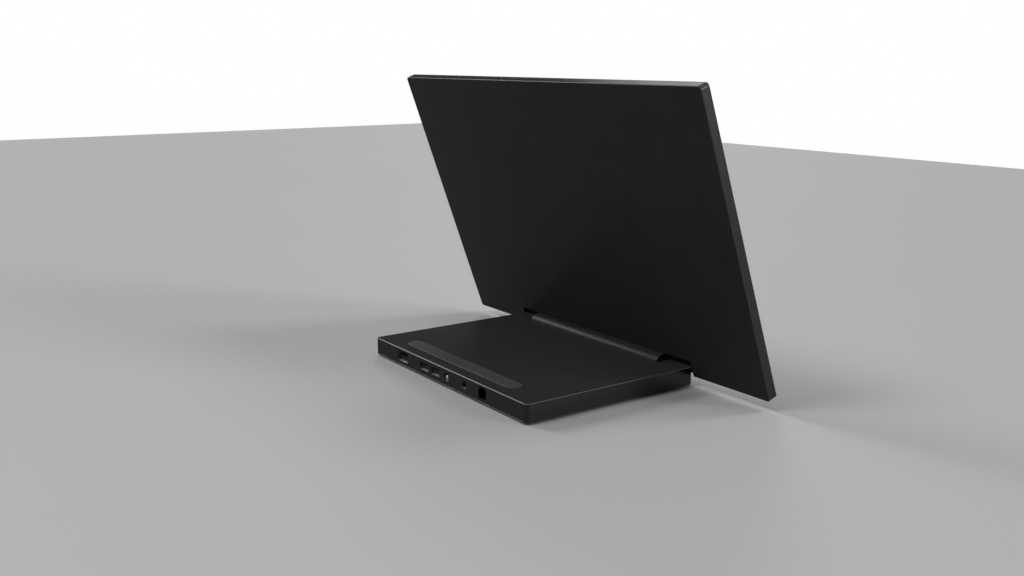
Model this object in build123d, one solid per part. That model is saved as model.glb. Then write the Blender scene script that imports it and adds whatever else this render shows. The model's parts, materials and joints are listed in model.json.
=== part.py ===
from build123d import *
import math
import os

# Foldable portable monitor: a flat base with the sockets in its front face, a display that leans
# back over the base on a full-width hinge barrel, and a rubber pad that the folded display rests on.
# Millimetres, +Z up, floor at Z 0, X 0 at mid width, +Y from the socket face towards the hinge.
# Display pieces are drawn folded flat, with the hinge axis as X, and then turned up to their lean.

# Base case
BASE_WIDTH = 208.0
BASE_DEPTH = 151.0
CASE_HEIGHT = 13.8
BASE_CORNER = 3.2
TOP_CHAMFER = 0.45
SIDE_WALL = 1.5
TOP_WALL = 1.5
COVER_EDGE = 0.9
COVER_PLATE = 1.4
COVER_CHAMFER = 0.4
SEAM_CHAMFER = 0.15
FIT_GAP = 0.15

# Rubber feet and rest pad
FOOT_HEIGHT = 1.0
FOOT_RADIUS = 6.0
FOOT_RECESS = 0.4
FOOT_FROM_SIDE = 17.0
FOOT_FROM_FRONT = 24.0
FOOT_FROM_REAR = 10.0
PAD_LENGTH = 147.0
PAD_WIDTH = 13.0
PAD_HEIGHT = 1.0
PAD_RECESS = 0.5
PAD_BEVEL = 0.6
PAD_FROM_FRONT = 16.1

# Display
ACTIVE_WIDTH = 344.7
ACTIVE_HEIGHT = 215.4
SIDE_BORDER = 4.65
END_BORDER = 5.5
DISPLAY_THICKNESS = 7.5
DISPLAY_CORNER = 2.6
DISPLAY_LEAN = 20.0
BACK_WALL = 1.2
RIM_WALL = 1.2
BACK_CHAMFER = 0.4
FRONT_CHAMFER = 0.35
FRAME_DEPTH = 1.6
LEDGE_WIDTH = 3.0
FRAME_RIM = 1.0
GLASS_THICKNESS = 0.7
GLASS_INSET = 0.1
TAPE_THICKNESS = 0.2
CELL_THICKNESS = 0.8
DIFFUSER_THICKNESS = 0.2
GUIDE_THICKNESS = 0.6
REFLECTOR_THICKNESS = 0.2
TRAY_FLOOR = 0.3
TRAY_WALL = 0.4
CELL_MARGIN = 2.4
SHEET_GAP = 0.2
LED_BAR = 0.8
RIB_WIDTH = 1.2
RIB_PITCH = 40.0
OUTER_RIB = 125.0
OUTER_RIB_PITCH = 14.0
RIB_GAP = 8.0

# Hinge
HINGE_FROM_REAR = 5.9
HINGE_DROP = 3.5
FOLDED_GAP = 0.3
DISPLAY_LAP = 6.4
BARREL_RADIUS = 8.4
EAR_LENGTH = 25.0
BARREL_WALL = 1.2
NOTCH_GAP = 0.4
BARREL_END_GAP = 0.5
RECESS_SIDE_GAP = 0.4
RECESS_WALL = 0.8
TROUGH_WALL = 1.2
TROUGH_FOOT = 3.9
REAR_LIP = 1.3
SHAFT_RADIUS = 1.5
SHAFT_GAP = 0.05
SHAFT_SLOT_GAP = 0.4
SHAFT_INSIDE = 19.0
SHAFT_PAST_BLOCK = 0.5
KNUCKLE_RADIUS = 2.5
CHEEK_WIDTH = 2.5
CHEEK_FROM_BARREL = 5.0
CLIP_WIDTH = 1.2
CLIP_PITCH = 1.6
CLIP_COUNT = 6
BLOCK_FOOT = 2.0
BLOCK_FORWARD = 15.0
POCKET_SKIN = 0.8
ARM_THICKNESS = 1.2
ARM_HUB_RADIUS = 3.2
ARM_HUB_LENGTH = 14.0
ARM_FOOT_WIDTH = 36.0
ARM_REACH = 46.0
ARM_SLOT_GAP = 0.2

# Sockets, each placed by its centre from mid width
SOCKET_DROP = 6.4
SOCKET_LIP = 0.6
SOCKET_INSET = 0.7
MOUTH_GAP = 0.1
SOCKET_GAP = 0.2
VIDEO_X = -60.2
VIDEO_WIDTH = 15.2
VIDEO_HEIGHT = 8.6
VIDEO_CORNER = 0.7
VIDEO_DEPTH = 11.5
VIDEO_TONGUE = (-1.8, 0.7)
VIDEO_TONGUE_INSET = 0.9
VIDEO_TONGUE_SIDE = 2.0
USB_X = (-28.0, -12.0)
USB_WIDTH = 13.1
USB_HEIGHT = 6.5
USB_CORNER = 0.6
USB_DEPTH = 13.5
USB_TONGUE = (-0.6, 1.4)
USB_TONGUE_INSET = 0.5
USB_TONGUE_SIDE = 0.6
METAL_SHEET = 0.35
DC_X = 4.2
DC_BORE = 3.2
DC_NOSE = 3.8
DC_PIN = 1.25
DC_PIN_INSET = 0.4
DC_WIDTH = 9.0
DC_HEIGHT = 7.6
DC_DEPTH = 13.0
AUDIO_X = 27.9
AUDIO_BORE = 1.8
AUDIO_RING = 3.3
AUDIO_SLEEVE = 0.35
AUDIO_SLEEVE_END = 4.0
AUDIO_WIDTH = 8.2
AUDIO_HEIGHT = 7.8
AUDIO_DEPTH = 14.0
UPSTREAM_X = 51.5
UPSTREAM_WIDTH = 11.2
UPSTREAM_HEIGHT = 9.6
UPSTREAM_MOUTH_WIDTH = 9.2
UPSTREAM_MOUTH_HEIGHT = 8.4
UPSTREAM_DEPTH = 16.0
UPSTREAM_TONGUE_DEPTH = 5.0
UPSTREAM_TONGUE_WIDTH = 5.6
UPSTREAM_TONGUE_HEIGHT = 3.2

# Keys in the left side
KEY_Y = {"power_key": 40.0, "menu_key": 58.0}
KEY_LENGTH = {"power_key": 10.0, "menu_key": 7.0}
KEY_HEIGHT = 2.8
KEY_PROUD = 0.6
KEY_TRAVEL = 0.4
KEY_GAP = 0.12
KEY_FLANGE = 0.7
KEY_FLANGE_LIP = 0.8
KEY_STEM = 1.6
SWITCH_DEPTH = 2.4
SWITCH_SIZE = 4.2

# Boards, battery, speakers and screws
BOARD_DROP = 3.3
BOARD_THICKNESS = 1.2
BOARD_LEFT = -76.0
BOARD_RIGHT = 66.0
BOARD_FRONT = 2.5
BOARD_BACK = 61.0
SCREW_RADIUS = 0.8
SCREW_GAP = 0.05
SCREW_HEAD = 1.9
SCREW_HEAD_HEIGHT = 0.6
BOSS_RADIUS = 2.8
SCREW_LENGTH = 6.0
SCREW_FROM_SIDE = 8.0
SCREW_FROM_FRONT = 10.0
SCREW_FROM_TROUGH = 11.1
SCREW_PAST_BOARD = 3.5
CHIP_X = -14.0
CHIP_FROM_FRONT = 38.0
CHIP_SIZE = 15.0
CHIP_HEIGHT = 1.3
MEMORY_X = -29.0
MEMORY_WIDTH = 8.0
MEMORY_DEPTH = 12.0
COIL_X = 23.5
COIL_FROM_FRONT = 47.5
COIL_SIZE = 7.0
COIL_HEIGHT = 3.0
COIL_PITCH = 12.0
COIL_COUNT = 3
SPREADER_WIDTH = 56.0
SPREADER_DEPTH = 26.0
PLUG_FROM_FRONT = 56.0
PLUG_DEPTH = 4.0
PLUG_HEIGHT = 1.6
PLUG_SIDE = 1.0
THERMAL_PAD = 0.5
SPREADER = 0.8
BATTERY_HEIGHT = 6.0
BATTERY_BOARD_GAP = 7.0
BATTERY_TROUGH_GAP = 7.1
BATTERY_SIDE_GAP = 7.5
BATTERY_SPACING = 4.0
SPEAKER_WIDTH = 13.0
SPEAKER_FRONT = 70.0
SPEAKER_TROUGH_GAP = 21.1
SPEAKER_HEIGHT = 7.0
SPEAKER_FROM_SIDE = 4.0
SPEAKER_MOUTH = 9.0
SPEAKER_RIM = 8.0
GRILLE_SLOTS = 7
GRILLE_PITCH = 4.0
GRILLE_WIDTH = 1.2
GRILLE_LENGTH = 9.0
CABLE_X = -14.0
CABLE_WIDTH = 10.0
CABLE_THICKNESS = 0.4
CABLE_ENTRY_ANGLE = 250.0
CABLE_SIDE_GAP = 2.0
LOOP_RADIUS = 4.0
TCON_WIDTH = 200.0
TCON_HEIGHT = 10.0
TCON_THICKNESS = 0.8
TCON_FROM_AXIS = 11.0
TCON_CHIP_X = 12.0
TCON_CHIP_WIDTH = 8.0
TCON_CHIP_DEPTH = 6.0
TCON_CHIP_HEIGHT = 0.7
DRIVER_X = 24.5
DRIVER_WIDTH = 5.0
DRIVER_DEPTH = 4.0
TCON_PLUG_HEIGHT = 0.9

# Levels of the base
BASE_TOP = FOOT_HEIGHT + CASE_HEIGHT
ROOF = BASE_TOP - TOP_WALL
SHELL_BOTTOM = FOOT_HEIGHT + COVER_EDGE
COVER_TOP = FOOT_HEIGHT + COVER_PLATE
SOCKET_Z = BASE_TOP - SOCKET_DROP
BOARD_TOP = SOCKET_Z - BOARD_DROP
BOARD_BOTTOM = BOARD_TOP - BOARD_THICKNESS

# Depths in the display, measured from the hinge axis towards the screen
BACK_FACE = HINGE_DROP + PAD_HEIGHT + FOLDED_GAP
FRONT_FACE = BACK_FACE + DISPLAY_THICKNESS
FRAME_BACK = FRONT_FACE - FRAME_DEPTH
GLASS_FRONT = FRONT_FACE - GLASS_INSET
GLASS_BACK = GLASS_FRONT - GLASS_THICKNESS
CELL_FRONT = GLASS_BACK - TAPE_THICKNESS
CELL_BACK = CELL_FRONT - CELL_THICKNESS
GUIDE_FRONT = CELL_BACK - DIFFUSER_THICKNESS
GUIDE_BACK = GUIDE_FRONT - GUIDE_THICKNESS
REFLECTOR_BACK = GUIDE_BACK - REFLECTOR_THICKNESS
TRAY_BACK = REFLECTOR_BACK - TRAY_FLOOR
INNER_BACK = BACK_FACE + BACK_WALL
RECESS_FLOOR = BARREL_RADIUS
RECESS_BACKING = TRAY_BACK - 0.1

# Outline of the display, a border round the picture
DISPLAY_WIDTH = ACTIVE_WIDTH + 2 * SIDE_BORDER
DISPLAY_HEIGHT = ACTIVE_HEIGHT + 2 * END_BORDER

# Heights on the display, measured from the hinge axis, negative towards its top edge
LOW_EDGE = DISPLAY_LAP
HIGH_EDGE = DISPLAY_LAP - DISPLAY_HEIGHT
DISPLAY_MID = (LOW_EDGE + HIGH_EDGE) / 2
RECESS_TOP = -math.sqrt(BARREL_RADIUS**2 - BACK_FACE**2)

# The origin lies under the middle of the whole object's box, on the floor
LEAN = math.radians(DISPLAY_LEAN)
REACH_AT_GLASS = FRONT_FACE * math.cos(LEAN) + (DISPLAY_LAP - FRONT_CHAMFER) * math.sin(LEAN)
REACH_AT_EDGE = (FRONT_FACE - FRONT_CHAMFER) * math.cos(LEAN) + DISPLAY_LAP * math.sin(LEAN)
HINGE_FROM_FRONT = BASE_DEPTH - HINGE_FROM_REAR
TOTAL_DEPTH = HINGE_FROM_FRONT + max(REACH_AT_GLASS, REACH_AT_EDGE)
FRONT = -TOTAL_DEPTH / 2
REAR = FRONT + BASE_DEPTH
BASE_MID = (FRONT + REAR) / 2
HINGE_Y = FRONT + HINGE_FROM_FRONT
HINGE_Z = BASE_TOP - HINGE_DROP

# Places along the hinge
BARREL_END = BASE_WIDTH / 2 - EAR_LENGTH
NOTCH_END = BARREL_END + BARREL_END_GAP
NOTCH_RADIUS = BARREL_RADIUS + NOTCH_GAP
TROUGH_FRONT = HINGE_Y - NOTCH_RADIUS - TROUGH_WALL
RECESS_END = BASE_WIDTH / 2 + RECESS_SIDE_GAP
EAR_INNER = NOTCH_END + SIDE_WALL
CHEEK_START = BARREL_END + CHEEK_FROM_BARREL
CLIP_START = CHEEK_START + CHEEK_WIDTH + 0.4
SECOND_CHEEK = CLIP_START + CLIP_COUNT * CLIP_PITCH
BLOCK_END = SECOND_CHEEK + CHEEK_WIDTH
SHAFT_END = BLOCK_END + SHAFT_PAST_BLOCK
ARM_HUB_START = BARREL_END - SHAFT_INSIDE + 2.0
ARM_MID = ARM_HUB_START + ARM_HUB_LENGTH / 2
CABLE_START = CABLE_X - CABLE_WIDTH / 2
CABLE_END = CABLE_X + CABLE_WIDTH / 2

# Speakers and battery, between the board, the side walls and the trough
TROUGH_FROM_FRONT = TROUGH_FRONT - FRONT
SPEAKER_BACK = TROUGH_FROM_FRONT - SPEAKER_TROUGH_GAP
SPEAKER_Y = (SPEAKER_FRONT + SPEAKER_BACK) / 2
SPEAKER_MID = BASE_WIDTH / 2 - SIDE_WALL - SPEAKER_FROM_SIDE - SPEAKER_WIDTH / 2
BATTERY_FRONT = BOARD_BACK + BATTERY_BOARD_GAP
BATTERY_BACK = TROUGH_FROM_FRONT - BATTERY_TROUGH_GAP
BATTERY_OUTER = SPEAKER_MID - SPEAKER_WIDTH / 2 - BATTERY_SIDE_GAP

# Screw places in the base, from mid width and from the front face
SCREW_X = BASE_WIDTH / 2 - SCREW_FROM_SIDE
SCREW_BACK = TROUGH_FROM_FRONT - SCREW_FROM_TROUGH
COVER_SCREWS = [
    (-SCREW_X, SCREW_FROM_FRONT), (SCREW_X, SCREW_FROM_FRONT), (-SCREW_X, SCREW_BACK), (SCREW_X, SCREW_BACK),
    (0.0, BOARD_BACK + SCREW_PAST_BOARD),
]
BLOCK_SCREW_X = (CHEEK_START + BLOCK_END) / 2
BLOCK_SCREW_Y = HINGE_Y - BLOCK_FORWARD + 3.0
BOARD_SCREWS = [(-70.0, 20.0), (-70.0, 55.0), (60.0, 30.0), (60.0, 55.0)]
ARM_SCREWS = [(-13.0, 14.0), (13.0, 14.0), (0.0, 40.0)]


def block(x0, x1, y0, y1, z0, z1):
    """A box between two corners."""
    return Pos((x0 + x1) / 2, (y0 + y1) / 2, (z0 + z1) / 2) * Box(x1 - x0, y1 - y0, z1 - z0)


def slab(width, depth, radius, y_mid, z0, z1):
    """A plate with round corners, centred at X 0."""
    return extrude(Pos(0, y_mid, z0) * RectangleRounded(width, depth, radius), z1 - z0)


def rod_x(x0, x1, y, z, radius):
    """A round bar along X."""
    return Pos((x0 + x1) / 2, y, z) * Rot(0, 90, 0) * Cylinder(radius, x1 - x0)


def rod_y(x, y0, y1, z, radius):
    """A round bar along Y."""
    return Pos(x, (y0 + y1) / 2, z) * Rot(90, 0, 0) * Cylinder(radius, y1 - y0)


def rod_z(x, y, z0, z1, radius):
    """A round bar along Z."""
    return Pos(x, y, (z0 + z1) / 2) * Cylinder(radius, z1 - z0)


def along_x(sketch, y, z, x0, x1):
    """A sketch drawn in Y and Z, pulled from x0 to x1."""
    return extrude(Plane((x0, y, z), x_dir=(0, 1, 0), z_dir=(1, 0, 0)) * sketch, x1 - x0)


def along_y(sketch, x, z, y0, y1):
    """A sketch drawn in X and Z, pulled from y0 to y1."""
    return extrude(Plane((x, y1, z), x_dir=(1, 0, 0), z_dir=(0, -1, 0)) * sketch, y1 - y0)


def band(points, thickness, x0, x1):
    """A flat cable through points of Y and Z, of one thickness, from x0 to x1."""
    sides = ([], [])
    for i, (y, z) in enumerate(points):
        before = points[max(i - 1, 0)]
        after = points[min(i + 1, len(points) - 1)]
        turn_in = math.atan2(z - before[1], y - before[0]) if i else None
        turn_out = math.atan2(after[1] - z, after[0] - y) if i < len(points) - 1 else None
        start = turn_in if turn_in is not None else turn_out
        end = turn_out if turn_out is not None else turn_in
        half = math.atan2(math.sin(end - start), math.cos(end - start)) / 2
        normal = start + half + math.pi / 2
        reach = thickness / 2 / math.cos(half)
        sides[0].append((y + reach * math.cos(normal), z + reach * math.sin(normal)))
        sides[1].append((y - reach * math.cos(normal), z - reach * math.sin(normal)))
    outline = Polyline(*sides[0], *reversed(sides[1]), close=True)
    return along_x(make_face(outline), 0, 0, x0, x1)


def on_display(shape):
    """Turns a piece drawn with the display folded flat up to its lean on the hinge axis."""
    return Pos(0, HINGE_Y, HINGE_Z) * Rot(DISPLAY_LEAN - 90, 0, 0) * shape


def on_side(side, shape):
    """A piece drawn on the right, mirrored to the left for side -1."""
    return shape if side > 0 else mirror(shape, about=Plane.YZ)


def video_outline(grow):
    """The video socket's outline."""
    return RectangleRounded(VIDEO_WIDTH + 2 * grow, VIDEO_HEIGHT + 2 * grow, VIDEO_CORNER + grow)


def usb_outline(grow):
    """The flat socket's outline."""
    return RectangleRounded(USB_WIDTH + 2 * grow, USB_HEIGHT + 2 * grow, USB_CORNER + grow)


def upstream_mouth(grow):
    """The square socket's mouth, with its upper corners cut."""
    half = UPSTREAM_MOUTH_WIDTH / 2 + grow
    high = UPSTREAM_MOUTH_HEIGHT / 2 + grow
    cut = 1.6
    points = [(-half, -high), (half, -high), (half, high - cut), (half - cut, high),
              (cut - half, high), (-half, high - cut)]
    return make_face(Polyline(*points, close=True))


def round_outline(radius):
    """A round socket's outline, grown like the others."""
    return lambda grow: Circle(radius + grow)


def upstream_outline(grow):
    """The square socket's body."""
    return RectangleRounded(UPSTREAM_WIDTH + 2 * grow, UPSTREAM_HEIGHT + 2 * grow, 0.5 + grow)


def socket_holes():
    """For every socket its mouth in the case's face, and behind a thin lip a pocket for its shell."""
    sockets = [(VIDEO_X, video_outline, video_outline, METAL_SHEET)]
    sockets += [(x, usb_outline, usb_outline, METAL_SHEET) for x in USB_X]
    sockets.append((DC_X, round_outline(DC_BORE), round_outline(DC_NOSE), 0.0))
    sockets.append((AUDIO_X, round_outline(AUDIO_RING), round_outline(AUDIO_RING), AUDIO_SLEEVE))
    sockets.append((UPSTREAM_X, upstream_mouth, upstream_outline, 0.0))
    holes = Part()
    for x, mouth, body, sheet in sockets:
        holes += along_y(mouth(MOUTH_GAP - sheet), x, SOCKET_Z, FRONT - 1.0, FRONT + SIDE_WALL)
        holes += along_y(body(SOCKET_GAP), x, SOCKET_Z, FRONT + SOCKET_LIP, FRONT + SIDE_WALL + 1.0)
    return holes


def base_top_shell():
    body = slab(BASE_WIDTH, BASE_DEPTH, BASE_CORNER, BASE_MID, SHELL_BOTTOM, BASE_TOP)
    body = chamfer(body.faces().sort_by(Axis.Z)[-1].edges(), TOP_CHAMFER)
    body = chamfer(body.faces().sort_by(Axis.Z)[0].edges(), SEAM_CHAMFER)
    inside = 2 * SIDE_WALL
    body -= slab(BASE_WIDTH - inside, BASE_DEPTH - inside, BASE_CORNER - SIDE_WALL, BASE_MID,
                 SHELL_BOTTOM, ROOF)
    rear_inside = REAR - SIDE_WALL
    body += block(-EAR_INNER, EAR_INNER, TROUGH_FRONT, HINGE_Y - TROUGH_FOOT, COVER_TOP, ROOF)
    for side in (-1, 1):
        ends = sorted((side * NOTCH_END, side * EAR_INNER))
        body += block(*ends, TROUGH_FRONT, rear_inside, COVER_TOP, ROOF)
    body -= rod_x(-NOTCH_END, NOTCH_END, HINGE_Y, HINGE_Z, NOTCH_RADIUS)
    body -= block(-NOTCH_END, NOTCH_END, HINGE_Y, REAR + 1.0, SHELL_BOTTOM + REAR_LIP, BASE_TOP + 1.0)
    body -= block(CABLE_START - CABLE_SIDE_GAP, CABLE_END + CABLE_SIDE_GAP, TROUGH_FRONT - 1.0,
                  HINGE_Y, COVER_TOP, COVER_TOP + 3 * CABLE_THICKNESS)
    slot = SHAFT_RADIUS + SHAFT_SLOT_GAP
    for side in (-1, 1):
        ends = sorted((side * (NOTCH_END - 0.5), side * (EAR_INNER + 0.5)))
        body -= rod_x(*ends, HINGE_Y, HINGE_Z, slot)
        body -= block(*ends, HINGE_Y - slot, HINGE_Y + slot, COVER_TOP - 1.0, HINGE_Z)
        pocket = sorted((side * (CHEEK_START - 0.5), side * (BLOCK_END + 0.5)))
        wide = KNUCKLE_RADIUS + 0.5
        body -= block(*pocket, HINGE_Y - wide, HINGE_Y + wide, ROOF - 0.5, BASE_TOP - POCKET_SKIN)
    for x, y in COVER_SCREWS:
        body += rod_z(x, FRONT + y, COVER_TOP, ROOF + 0.5, BOSS_RADIUS)
        body -= rod_z(x, FRONT + y, COVER_TOP - 1.0, COVER_TOP + SCREW_LENGTH, SCREW_RADIUS + SCREW_GAP)
    body -= extrude(Pos(0, FRONT + PAD_FROM_FRONT, BASE_TOP - PAD_RECESS)
                    * SlotOverall(PAD_LENGTH + 2 * FIT_GAP, PAD_WIDTH + 2 * FIT_GAP), PAD_RECESS + 1.0)
    body -= socket_holes()
    left = -BASE_WIDTH / 2
    for key, y in KEY_Y.items():
        mouth = SlotOverall(KEY_LENGTH[key] + 2 * KEY_GAP, KEY_HEIGHT + 2 * KEY_GAP)
        body -= along_x(mouth, FRONT + y, SOCKET_Z, left - 1.0, left + SIDE_WALL + 1.0)
    return body


def base_bottom_cover():
    edge = slab(BASE_WIDTH, BASE_DEPTH, BASE_CORNER, BASE_MID, FOOT_HEIGHT, SHELL_BOTTOM)
    edge = chamfer(edge.faces().sort_by(Axis.Z)[0].edges(), COVER_CHAMFER)
    edge = chamfer(edge.faces().sort_by(Axis.Z)[-1].edges(), SEAM_CHAMFER)
    inside = 2 * (SIDE_WALL + FIT_GAP)
    cover = edge + slab(BASE_WIDTH - inside, BASE_DEPTH - inside, BASE_CORNER - SIDE_WALL, BASE_MID,
                        FOOT_HEIGHT + COVER_EDGE / 2, COVER_TOP)
    for x, y in foot_places():
        cover -= rod_z(x, y, FOOT_HEIGHT - 1.0, FOOT_HEIGHT + FOOT_RECESS, FOOT_RADIUS + FIT_GAP)
    for x, y in BOARD_SCREWS:
        cover += rod_z(x, FRONT + y, COVER_TOP - 0.5, BOARD_BOTTOM, BOSS_RADIUS)
        cover -= rod_z(x, FRONT + y, COVER_TOP, BOARD_BOTTOM + 1.0, SCREW_RADIUS + SCREW_GAP)
    for x, y in bottom_screw_places():
        cover -= rod_z(x, y, FOOT_HEIGHT - 1.0, FOOT_HEIGHT + SCREW_HEAD_HEIGHT + 0.1, SCREW_HEAD + 0.2)
        cover -= rod_z(x, y, FOOT_HEIGHT, COVER_TOP + 1.0, SCREW_RADIUS + 0.2)
    for side in (-1, 1):
        for i in range(GRILLE_SLOTS):
            y = FRONT + SPEAKER_Y + (i - (GRILLE_SLOTS - 1) / 2) * GRILLE_PITCH
            cut = SlotOverall(GRILLE_LENGTH, GRILLE_WIDTH)
            cover -= extrude(Pos(side * SPEAKER_MID, y, FOOT_HEIGHT - 1.0) * cut, COVER_PLATE + 2.0)
    return cover


def foot_places():
    """Centres of the four feet."""
    x = BASE_WIDTH / 2 - FOOT_FROM_SIDE
    return [(side * x, y) for side in (-1, 1) for y in (FRONT + FOOT_FROM_FRONT, REAR - FOOT_FROM_REAR)]


def bottom_screw_places():
    """Every screw through the bottom cover: into the shell's bosses, then into the hinge blocks."""
    places = [(x, FRONT + y) for x, y in COVER_SCREWS]
    return places + [(side * BLOCK_SCREW_X, BLOCK_SCREW_Y) for side in (-1, 1)]


def base_feet():
    feet = []
    for x, y in foot_places():
        foot = rod_z(x, y, 0.0, FOOT_HEIGHT + FOOT_RECESS, FOOT_RADIUS)
        feet.append(fillet(foot.faces().sort_by(Axis.Z)[0].edges(), 0.3))
    return Compound(children=feet)


def front_rest_pad():
    pad = extrude(Pos(0, FRONT + PAD_FROM_FRONT, BASE_TOP - PAD_RECESS)
                  * SlotOverall(PAD_LENGTH, PAD_WIDTH), PAD_RECESS + PAD_HEIGHT)
    return chamfer(pad.faces().sort_by(Axis.Z)[-1].edges(), PAD_BEVEL)


def screw(x, y, z_head, length, up=1):
    """A flat-headed screw with its head at z_head and its shank upwards, or downwards for up -1."""
    head = sorted((z_head, z_head + up * SCREW_HEAD_HEIGHT))
    shank = sorted((z_head + up * SCREW_HEAD_HEIGHT, z_head + up * (SCREW_HEAD_HEIGHT + length)))
    return rod_z(x, y, *head, SCREW_HEAD) + rod_z(x, y, *shank, SCREW_RADIUS)


def bottom_cover_screws():
    screws = [screw(x, FRONT + y, FOOT_HEIGHT + 0.1, SCREW_LENGTH) for x, y in COVER_SCREWS]
    for side in (-1, 1):
        shank = COVER_TOP + BLOCK_FOOT - 0.3 - FOOT_HEIGHT - 0.1 - SCREW_HEAD_HEIGHT
        screws.append(screw(side * BLOCK_SCREW_X, BLOCK_SCREW_Y, FOOT_HEIGHT + 0.1, shank))
    return Compound(children=screws)


def main_board():
    board = block(BOARD_LEFT, BOARD_RIGHT, FRONT + BOARD_FRONT, FRONT + BOARD_BACK,
                  BOARD_BOTTOM, BOARD_TOP)
    sunk = ((VIDEO_X, VIDEO_WIDTH, VIDEO_DEPTH), (DC_X, DC_WIDTH, DC_DEPTH),
            (AUDIO_X, AUDIO_WIDTH, AUDIO_DEPTH), (UPSTREAM_X, UPSTREAM_WIDTH, UPSTREAM_DEPTH))
    for x, width, depth in sunk:
        board -= block(x - width / 2 - FIT_GAP, x + width / 2 + FIT_GAP, FRONT, FRONT + depth + FIT_GAP,
                       BOARD_BOTTOM - 1.0, BOARD_TOP + 1.0)
    for x, y in BOARD_SCREWS:
        board -= rod_z(x, FRONT + y, BOARD_BOTTOM - 1.0, BOARD_TOP + 1.0, SCREW_RADIUS + 0.2)
    return board


def board_screws():
    length = BOARD_TOP - COVER_TOP - 0.1
    z_head = BOARD_TOP + SCREW_HEAD_HEIGHT
    return Compound(children=[screw(x, FRONT + y, z_head, length, -1) for x, y in BOARD_SCREWS])


def chip(x, y, width, depth, height):
    """A block on the main board, centred at x and at y from the front face."""
    return block(x - width / 2, x + width / 2, FRONT + y - depth / 2, FRONT + y + depth / 2,
                 BOARD_TOP, BOARD_TOP + height)


def board_chips():
    """The scaler chip, its memory, the power coils and the cable's plug on the board."""
    chips = [chip(CHIP_X, CHIP_FROM_FRONT, CHIP_SIZE, CHIP_SIZE, CHIP_HEIGHT)]
    chips.append(chip(MEMORY_X, CHIP_FROM_FRONT, MEMORY_WIDTH, MEMORY_DEPTH, CHIP_HEIGHT))
    for i in range(COIL_COUNT):
        chips.append(chip(COIL_X + i * COIL_PITCH, COIL_FROM_FRONT, COIL_SIZE, COIL_SIZE, COIL_HEIGHT))
    plug = CABLE_WIDTH + 2 * PLUG_SIDE
    chips.append(chip(CABLE_X, PLUG_FROM_FRONT, plug, PLUG_DEPTH, PLUG_HEIGHT))
    return Compound(children=chips)


def thermal_pad():
    z = BOARD_TOP + CHIP_HEIGHT
    half = CHIP_SIZE / 2
    y = FRONT + CHIP_FROM_FRONT
    return block(CHIP_X - half, CHIP_X + half, y - half, y + half, z, z + THERMAL_PAD)


def heat_spreader():
    z = BOARD_TOP + CHIP_HEIGHT + THERMAL_PAD
    y = FRONT + CHIP_FROM_FRONT
    return block(CHIP_X - SPREADER_WIDTH / 2, CHIP_X + SPREADER_WIDTH / 2, y - SPREADER_DEPTH / 2,
                 y + SPREADER_DEPTH / 2, z, z + SPREADER)


def socket_shell(outline, x, depth):
    """A sheet metal socket shell, open to the front and closed at its back."""
    y0 = FRONT + SOCKET_INSET
    y1 = FRONT + depth
    tube = along_y(outline(0), x, SOCKET_Z, y0, y1)
    return tube - along_y(outline(-METAL_SHEET), x, SOCKET_Z, y0 - 1.0, y1 - METAL_SHEET)


def socket_tongue(outline, x, depth, inset, half_width, heights):
    """The insulator at a shell's back with the tongue that carries the contacts."""
    back = FRONT + depth - METAL_SHEET
    core = along_y(outline(-METAL_SHEET), x, SOCKET_Z, back - 3.0, back)
    return core + block(x - half_width, x + half_width, FRONT + SOCKET_INSET + inset, back - 2.5,
                        SOCKET_Z + heights[0], SOCKET_Z + heights[1])


def video_port_shell():
    return socket_shell(video_outline, VIDEO_X, VIDEO_DEPTH)


def video_port_tongue():
    half = VIDEO_WIDTH / 2 - METAL_SHEET - VIDEO_TONGUE_SIDE
    return socket_tongue(video_outline, VIDEO_X, VIDEO_DEPTH, VIDEO_TONGUE_INSET, half, VIDEO_TONGUE)


def usb_shell(x):
    return socket_shell(usb_outline, x, USB_DEPTH)


def usb_tongue(x):
    half = USB_WIDTH / 2 - METAL_SHEET - USB_TONGUE_SIDE
    return socket_tongue(usb_outline, x, USB_DEPTH, USB_TONGUE_INSET, half, USB_TONGUE)


def dc_jack_housing():
    y0 = FRONT + SIDE_WALL + FIT_GAP
    y1 = FRONT + DC_DEPTH
    body = along_y(Rectangle(DC_WIDTH, DC_HEIGHT), DC_X, SOCKET_Z, y0, y1)
    body += rod_y(DC_X, FRONT + SOCKET_INSET, y0 + 0.5, SOCKET_Z, DC_NOSE)
    body -= rod_y(DC_X, FRONT - 1.0, y1 - 2.5, SOCKET_Z, DC_BORE)
    return body - rod_y(DC_X, y1 - 3.0, y1 - 1.0, SOCKET_Z, DC_PIN)


def dc_jack_pin():
    pin = rod_y(DC_X, FRONT + DC_PIN_INSET, FRONT + DC_DEPTH - 1.0, SOCKET_Z, DC_PIN)
    return fillet(pin.faces().sort_by(Axis.Y)[0].edges(), 0.4)


def audio_jack_housing():
    y0 = FRONT + SIDE_WALL + FIT_GAP
    y1 = FRONT + AUDIO_DEPTH
    body = along_y(Rectangle(AUDIO_WIDTH, AUDIO_HEIGHT), AUDIO_X, SOCKET_Z, y0, y1)
    body -= rod_y(AUDIO_X, y0 - 1.0, FRONT + AUDIO_SLEEVE_END, SOCKET_Z, AUDIO_RING + SHAFT_GAP)
    return body - rod_y(AUDIO_X, y0 - 1.0, y1 - 1.0, SOCKET_Z, AUDIO_BORE)


def audio_jack_ring():
    y0 = FRONT + SOCKET_INSET
    y1 = FRONT + AUDIO_SLEEVE_END
    ring = rod_y(AUDIO_X, y0, y1, SOCKET_Z, AUDIO_RING)
    return ring - rod_y(AUDIO_X, y0 - 1.0, y1 + 1.0, SOCKET_Z, AUDIO_RING - AUDIO_SLEEVE)


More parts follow.
